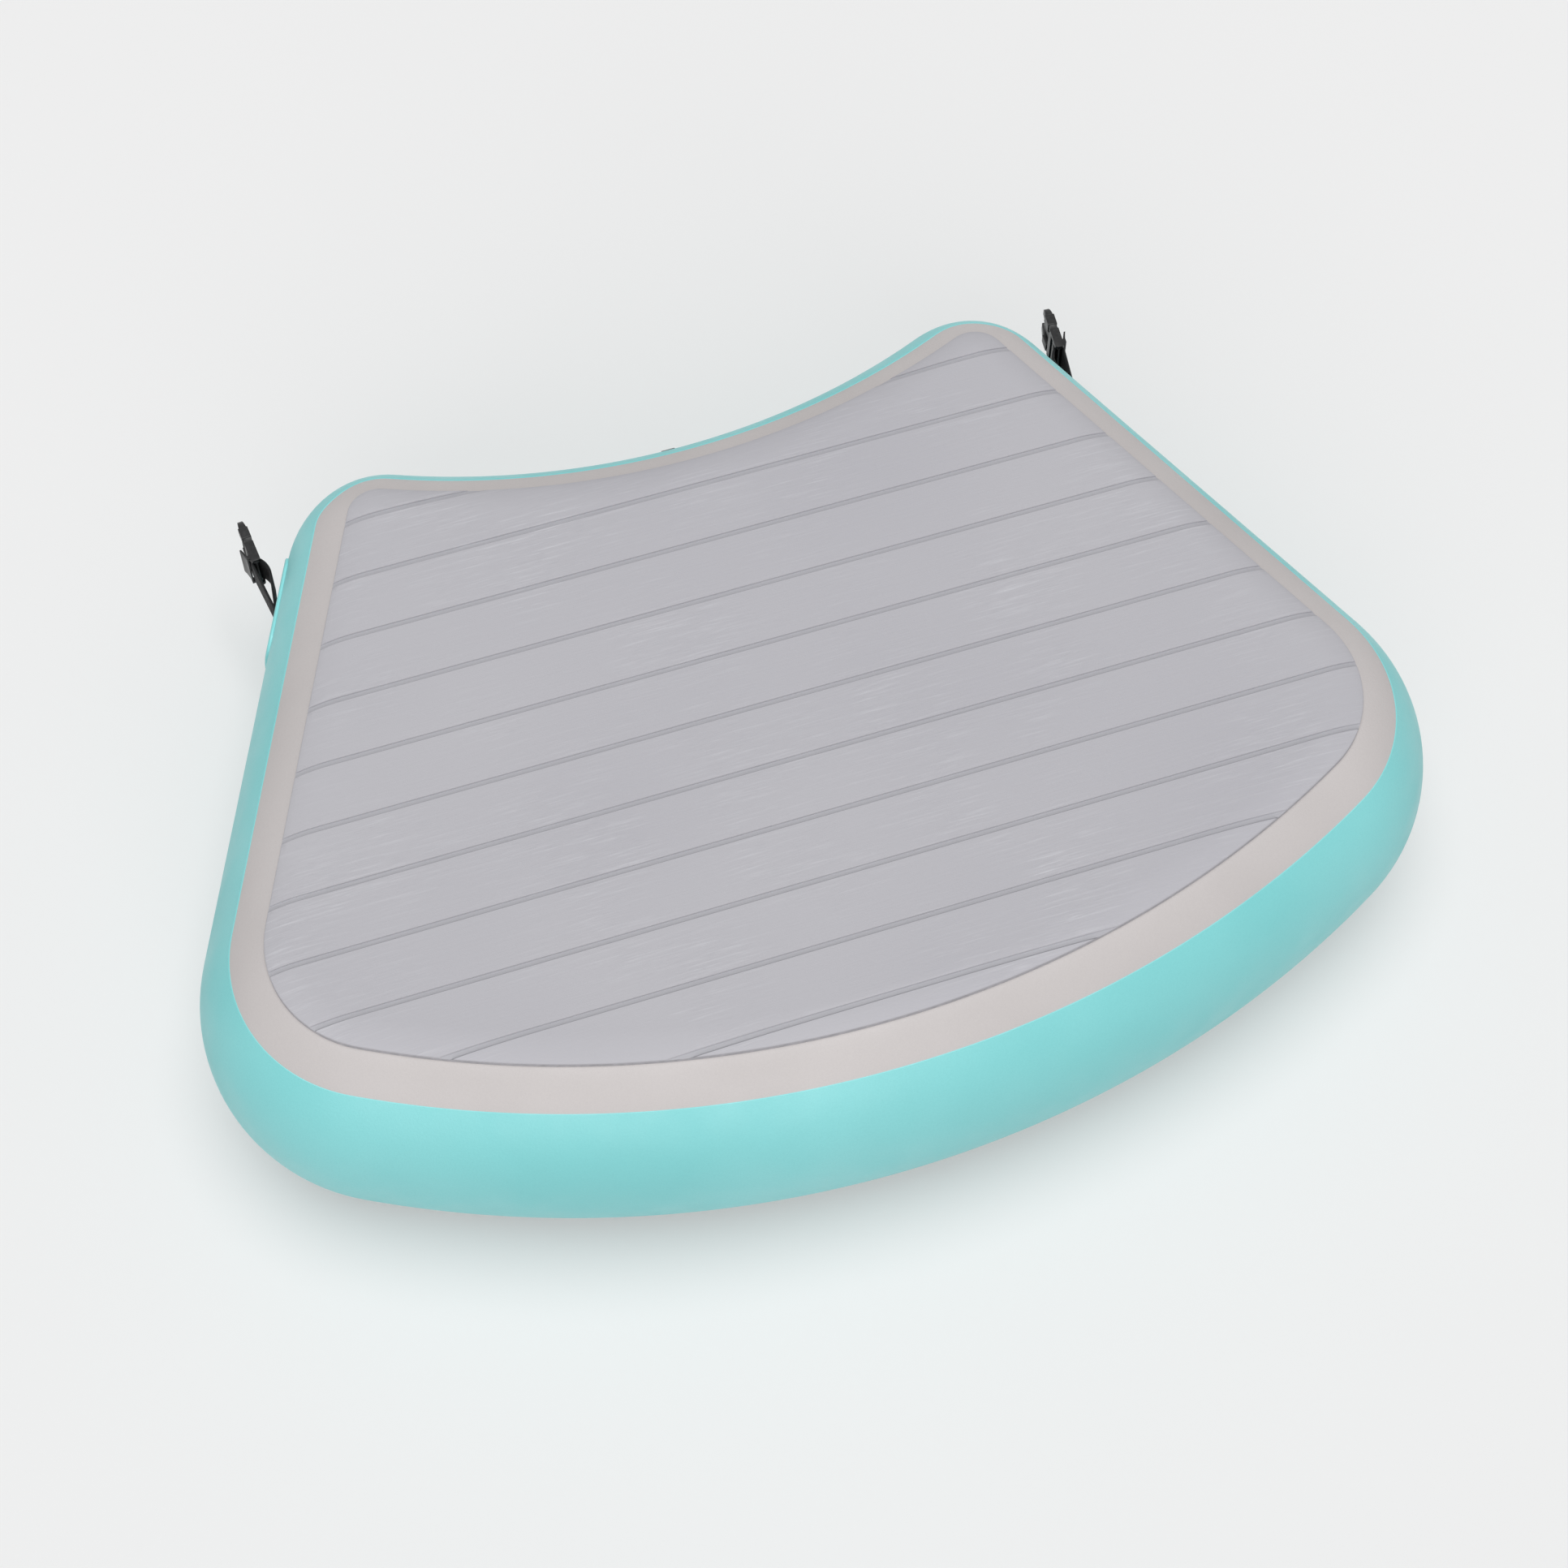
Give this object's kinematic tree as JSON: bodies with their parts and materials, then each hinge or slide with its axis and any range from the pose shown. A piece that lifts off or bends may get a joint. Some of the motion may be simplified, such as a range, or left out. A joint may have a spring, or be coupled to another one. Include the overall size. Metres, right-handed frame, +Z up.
{
  "type": "inflatable floating deck section",
  "caption": "Fan-shaped inflatable drop-stitch deck section with a grooved foam pad, a convex wide end, a hollow narrow end, an inflation valve and a buckle on each side.",
  "frame": {"origin": "on the flat underside where it rests, on the centre line, halfway between the middle of the wide convex end and the middle of the hollow end", "axes": "+Z up, +Y towards the hollow end, +X across, the longest extent"},
  "size_m": [0.8812, 0.6311, 0.2041],
  "materials": {
    "border_skin": "satin coated fabric",
    "rail_fabric": "satin coated fabric",
    "seam_tape": "matt",
    "yarn": "matt",
    "deck_foam": "brushed foam",
    "valve_plastic": "satin moulded",
    "stem_plastic": "satin moulded",
    "valve_rubber": "matt",
    "spring_steel": "drawn wire",
    "webbing": "woven",
    "thread": "twisted",
    "buckle_plastic": "satin moulded"
  },
  "bodies": {
    "chamber": {"top_skin": "border_skin", "bottom_skin": "border_skin", "rail_band": "rail_fabric", "top_seam_tape": "seam_tape", "bottom_seam_tape": "seam_tape", "drop_stitch_yarns": "yarn", "deck_pad": "deck_foam", "valve_seat_pad": "rail_fabric", "valve_cap_ring": "valve_plastic", "valve_gasket": "valve_rubber", "valve_body": "valve_plastic", "valve_nut": "valve_plastic", "valve_spring": "spring_steel", "right_rail_patch": "rail_fabric", "left_rail_patch": "rail_fabric", "right_webbing_tail": "webbing", "left_webbing_tail": "webbing"},
    "cap": {"valve_cap": "valve_plastic"},
    "stem_carrier": {"valve_stem_clip": "stem_plastic"},
    "stem": {"valve_stem": "stem_plastic", "valve_seal": "valve_rubber"},
    "right_strap": {"right_webbing_loop": "webbing", "right_root_stitching": "thread"},
    "right_plug": {"right_buckle_plug": "buckle_plastic"},
    "right_plug_upper_arm": {"right_upper_arm": "buckle_plastic"},
    "right_plug_lower_arm": {"right_lower_arm": "buckle_plastic"},
    "left_strap": {"left_webbing_loop": "webbing", "left_root_stitching": "thread"},
    "left_plug": {"left_buckle_plug": "buckle_plastic"},
    "left_plug_upper_arm": {"left_upper_arm": "buckle_plastic"},
    "left_plug_lower_arm": {"left_lower_arm": "buckle_plastic"}
  },
  "joints": [
    {"name": "valve_cap_hinge", "type": "hinge", "parent": "chamber", "child": "cap", "pos_m": [0, 0.2917, 0.129], "axis": [1, 0, 0], "range_deg": [0, 120]},
    {"name": "valve_stem_push", "type": "slide", "parent": "chamber", "child": "stem_carrier", "axis": [0, -1, 0], "range_m": [0, 0.0055], "stiffness_N_per_m": 300, "springref_m": -0.004, "deforming": ["valve_spring"]},
    {"name": "valve_stem_twist", "type": "hinge", "parent": "stem_carrier", "child": "stem", "pos_m": [0, 0.27, 0.1], "axis": [0, 1, 0], "range_deg": [0, 90]},
    {"name": "right_strap_flex", "type": "hinge", "parent": "chamber", "child": "right_strap", "pos_m": [0.31157, 0.26401, 0.1], "axis": [0, 0, -1], "range_deg": [-14, 100]},
    {"name": "right_plug_swivel", "type": "hinge", "parent": "right_strap", "child": "right_plug", "pos_m": [0.31512, 0.30385, 0.1], "axis": [0, 0, -1], "range_deg": [-30, 30]},
    {"name": "right_upper_arm_squeeze", "type": "hinge", "parent": "right_plug", "child": "right_plug_upper_arm", "pos_m": [0.31654, 0.31969, 0.1148], "axis": [-0.996, 0.0889, 0], "range_deg": [0, 6], "stiffness_Nm_per_rad": 0.02, "springref_deg": -1.15},
    {"name": "right_lower_arm_squeeze", "type": "hinge", "parent": "right_plug", "child": "right_plug_lower_arm", "pos_m": [0.31654, 0.31969, 0.0852], "axis": [0.996, -0.0889, 0], "range_deg": [0, 6], "stiffness_Nm_per_rad": 0.02, "springref_deg": -1.15},
    {"name": "left_strap_flex", "type": "hinge", "parent": "chamber", "child": "left_strap", "pos_m": [-0.31157, 0.26401, 0.1], "axis": [0, 0, 1], "range_deg": [-14, 100]},
    {"name": "left_plug_swivel", "type": "hinge", "parent": "left_strap", "child": "left_plug", "pos_m": [-0.31512, 0.30385, 0.1], "axis": [0, 0, 1], "range_deg": [-30, 30]},
    {"name": "left_upper_arm_squeeze", "type": "hinge", "parent": "left_plug", "child": "left_plug_upper_arm", "pos_m": [-0.31654, 0.31969, 0.1148], "axis": [-0.996, -0.0889, 0], "range_deg": [0, 6], "stiffness_Nm_per_rad": 0.02, "springref_deg": -1.15},
    {"name": "left_lower_arm_squeeze", "type": "hinge", "parent": "left_plug", "child": "left_plug_lower_arm", "pos_m": [-0.31654, 0.31969, 0.0852], "axis": [0.996, 0.0889, 0], "range_deg": [0, 6], "stiffness_Nm_per_rad": 0.02, "springref_deg": -1.15}
  ]
}
